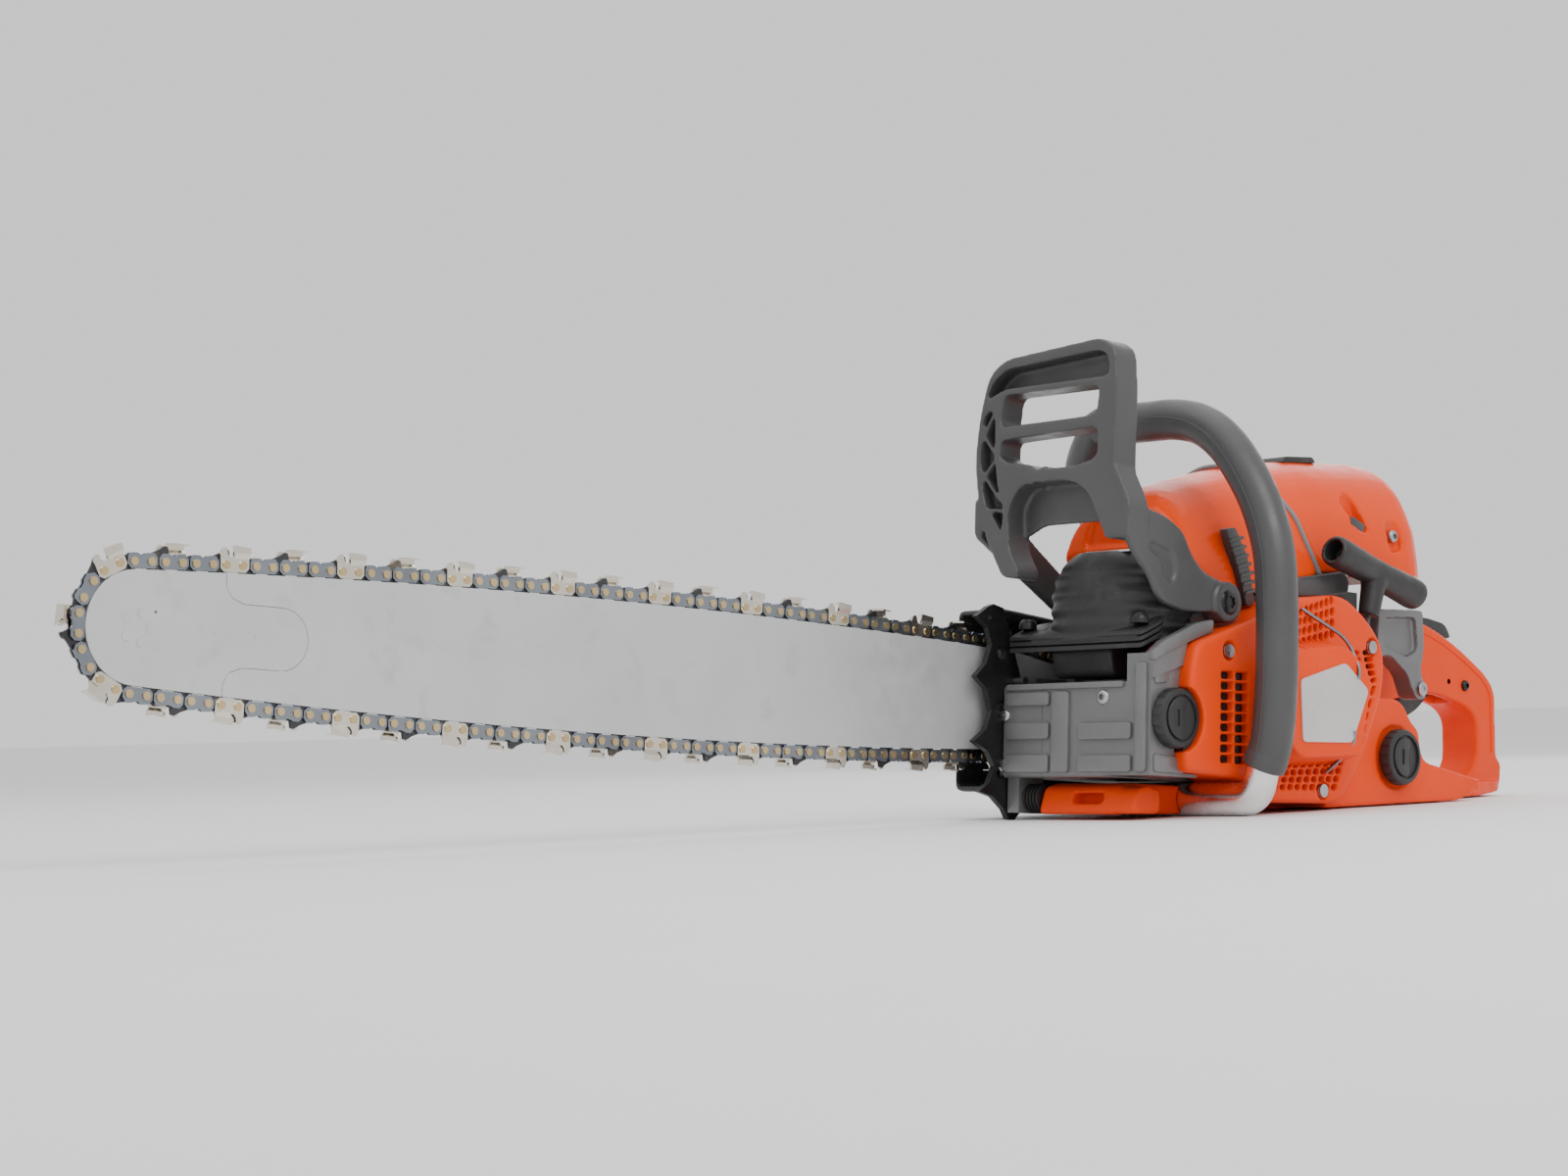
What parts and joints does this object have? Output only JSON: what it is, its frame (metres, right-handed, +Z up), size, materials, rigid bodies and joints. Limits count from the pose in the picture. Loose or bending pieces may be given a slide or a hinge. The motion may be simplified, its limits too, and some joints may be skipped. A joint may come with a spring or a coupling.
{
  "type": "chainsaw",
  "caption": "Petrol chainsaw with a long guide bar, full-chisel chain, front hand guard, wrap handle, recoil starter and rear throttle handle.",
  "frame": {"origin": "on the ground plane, directly below the crankshaft axis at the cylinder centre plane, on the flat skid under the tank moulding", "axes": "+Z up; -X towards the bar tip; +Y towards the bar and clutch side; the saw stands nose-up by 4 degrees on its spike foot, handle tube and skid"},
  "size_m": [1.1827, 0.2377, 0.3115],
  "materials": {
    "badge_silver": "silver foil",
    "bar_steel": "light grey satin paint",
    "bare_aluminium": "polished",
    "black_rubber": "moulded",
    "black_steel": "black satin",
    "bright_steel": "bright",
    "chain_steel": "dark oiled steel",
    "cutter_chrome": "chrome plated",
    "dark_plastic": "moulded",
    "filter_felt": "felt",
    "grey_plastic": "moulded",
    "grip_rubber": "satin",
    "machine_steel": "machined",
    "magnesium": "cast and lacquered",
    "muffler_black": "black heat paint",
    "orange_gloss": "glossy",
    "orange_plastic": "moulded",
    "raw_aluminium": "cast",
    "rivet_steel": "straw tempered steel",
    "rope_nylon": "braided",
    "strap_steel": "blued steel"
  },
  "bodies": {
    "saw": {"air_filter": "filter_felt", "av_boot": "black_rubber", "av_bracket": "grey_plastic", "bar_nose": "bar_steel", "bar_nuts": "machine_steel", "bar_studs": "machine_steel", "body_screws": "machine_steel", "brake_band": "machine_steel", "bumper_spike": "black_steel", "carburettor": "raw_aluminium", "chain_cutters": "cutter_chrome", "chain_drive_links": "chain_steel", "chain_rivets": "rivet_steel", "chain_tie_straps": "strap_steel", "clutch_cover": "dark_plastic", "control_pins": "machine_steel", "cover_latch": "dark_plastic", "crankcase_left": "magnesium", "crankcase_right": "magnesium", "cylinder": "raw_aluminium", "cylinder_cover": "orange_gloss", "filter_cover": "orange_gloss", "front_handle_tube": "bare_aluminium", "guard_pivot_bolts": "machine_steel", "guide_bar": "bar_steel", "handle_bracket": "orange_plastic", "handle_grip": "grip_rubber", "ignition_coil": "dark_plastic", "intake_housing": "dark_plastic", "main_bearings": "machine_steel", "muffler_flange": "muffler_black", "muffler_screws": "machine_steel", "muffler_shell": "muffler_black", "nose_rivets": "bright_steel", "oil_pump": "dark_plastic", "recoil_spring": "machine_steel", "spark_plug": "bright_steel", "starter_badge": "badge_silver", "starter_cover": "orange_plastic", "tank_and_handle": "orange_plastic", "tension_screw": "machine_steel"},
    "crank": {"crankshaft_halves": "machine_steel", "flywheel": "raw_aluminium", "clutch_hub": "machine_steel"},
    "piston_set": {"piston": "raw_aluminium", "connecting_rod": "machine_steel", "rod_pins": "machine_steel"},
    "clutch_bell": {"clutch_drum": "machine_steel", "rim_sprocket": "machine_steel"},
    "nose_wheel": {"nose_sprocket": "bright_steel"},
    "guard": {"hand_guard": "grey_plastic"},
    "trigger": {"throttle_trigger": "dark_plastic"},
    "lockout": {"throttle_lockout": "dark_plastic"},
    "pull_grip": {"pull_handle": "dark_plastic", "starter_rope": "rope_nylon"},
    "pulley": {"starter_pulley": "dark_plastic"},
    "oil_lid": {"oil_cap": "dark_plastic"},
    "fuel_lid": {"fuel_cap": "dark_plastic"},
    "stop_control": {"stop_lever": "dark_plastic"},
    "decomp": {"decompression_button": "dark_plastic"}
  },
  "joints": [
    {"name": "crank_spin", "type": "hinge", "parent": "saw", "child": "crank", "pos_m": [0, 0, 0.0724], "axis": [0, 1, 0], "continuous": true},
    {"name": "piston_slide", "type": "slide", "parent": "saw", "child": "piston_set", "axis": [0.0698, 0, 0.9976], "range_m": [-0.036, 0]},
    {"name": "drum_spin", "type": "hinge", "parent": "saw", "child": "clutch_bell", "pos_m": [0, 0.06, 0.0724], "axis": [0, 1, 0], "continuous": true},
    {"name": "nose_sprocket_spin", "type": "hinge", "parent": "saw", "child": "nose_wheel", "pos_m": [-0.78309, 0.06, 0.12716], "axis": [0, 1, 0], "continuous": true},
    {"name": "guard_tilt", "type": "hinge", "parent": "saw", "child": "guard", "pos_m": [-0.04541, 0, 0.13973], "axis": [0, 1, 0], "range_deg": [-12, 0]},
    {"name": "throttle_trigger_squeeze", "type": "hinge", "parent": "saw", "child": "trigger", "pos_m": [0.28768, -0.008, 0.08637], "axis": [0, 1, 0], "range_deg": [0, 14], "stiffness_Nm_per_rad": 0.4, "springref_deg": -20.05},
    {"name": "throttle_lockout_press", "type": "hinge", "parent": "saw", "child": "lockout", "pos_m": [0.2503, -0.008, 0.11103], "axis": [0, 1, 0], "range_deg": [0, 9], "stiffness_Nm_per_rad": 0.4, "springref_deg": -20.05},
    {"name": "starter_pull", "type": "slide", "parent": "saw", "child": "pull_grip", "axis": [0.3046, 0, 0.9525], "range_m": [0, 0.7], "stiffness_N_per_m": 8, "springref_m": -0.35},
    {"name": "pulley_spin", "type": "hinge", "parent": "saw", "child": "pulley", "pos_m": [0, -0.082, 0.0724], "axis": [0, 1, 0], "continuous": true},
    {"name": "oil_cap_turn", "type": "hinge", "parent": "saw", "child": "oil_lid", "pos_m": [-0.10779, -0.082, 0.0649], "axis": [0, -1, 0], "range_deg": [0, 90]},
    {"name": "fuel_cap_turn", "type": "hinge", "parent": "saw", "child": "fuel_lid", "pos_m": [0.14063, -0.078, 0.03349], "axis": [0, -1, 0], "range_deg": [0, 90]},
    {"name": "stop_lever_swing", "type": "hinge", "parent": "saw", "child": "stop_control", "pos_m": [0.13985, 0.046, 0.12277], "axis": [0, 1, 0], "range_deg": [-20, 0]},
    {"name": "decompression_press", "type": "slide", "parent": "saw", "child": "decomp", "axis": [0.0698, 0, 0.9976], "range_m": [-0.004, 0], "stiffness_N_per_m": 300, "springref_m": 0.004}
  ],
  "couplings": [
    {"joint": "nose_sprocket_spin", "follows": "drum_spin", "ratio": 0.58333},
    {"joint": "pulley_spin", "follows": "starter_pull", "rad_per_m": 45}
  ]
}
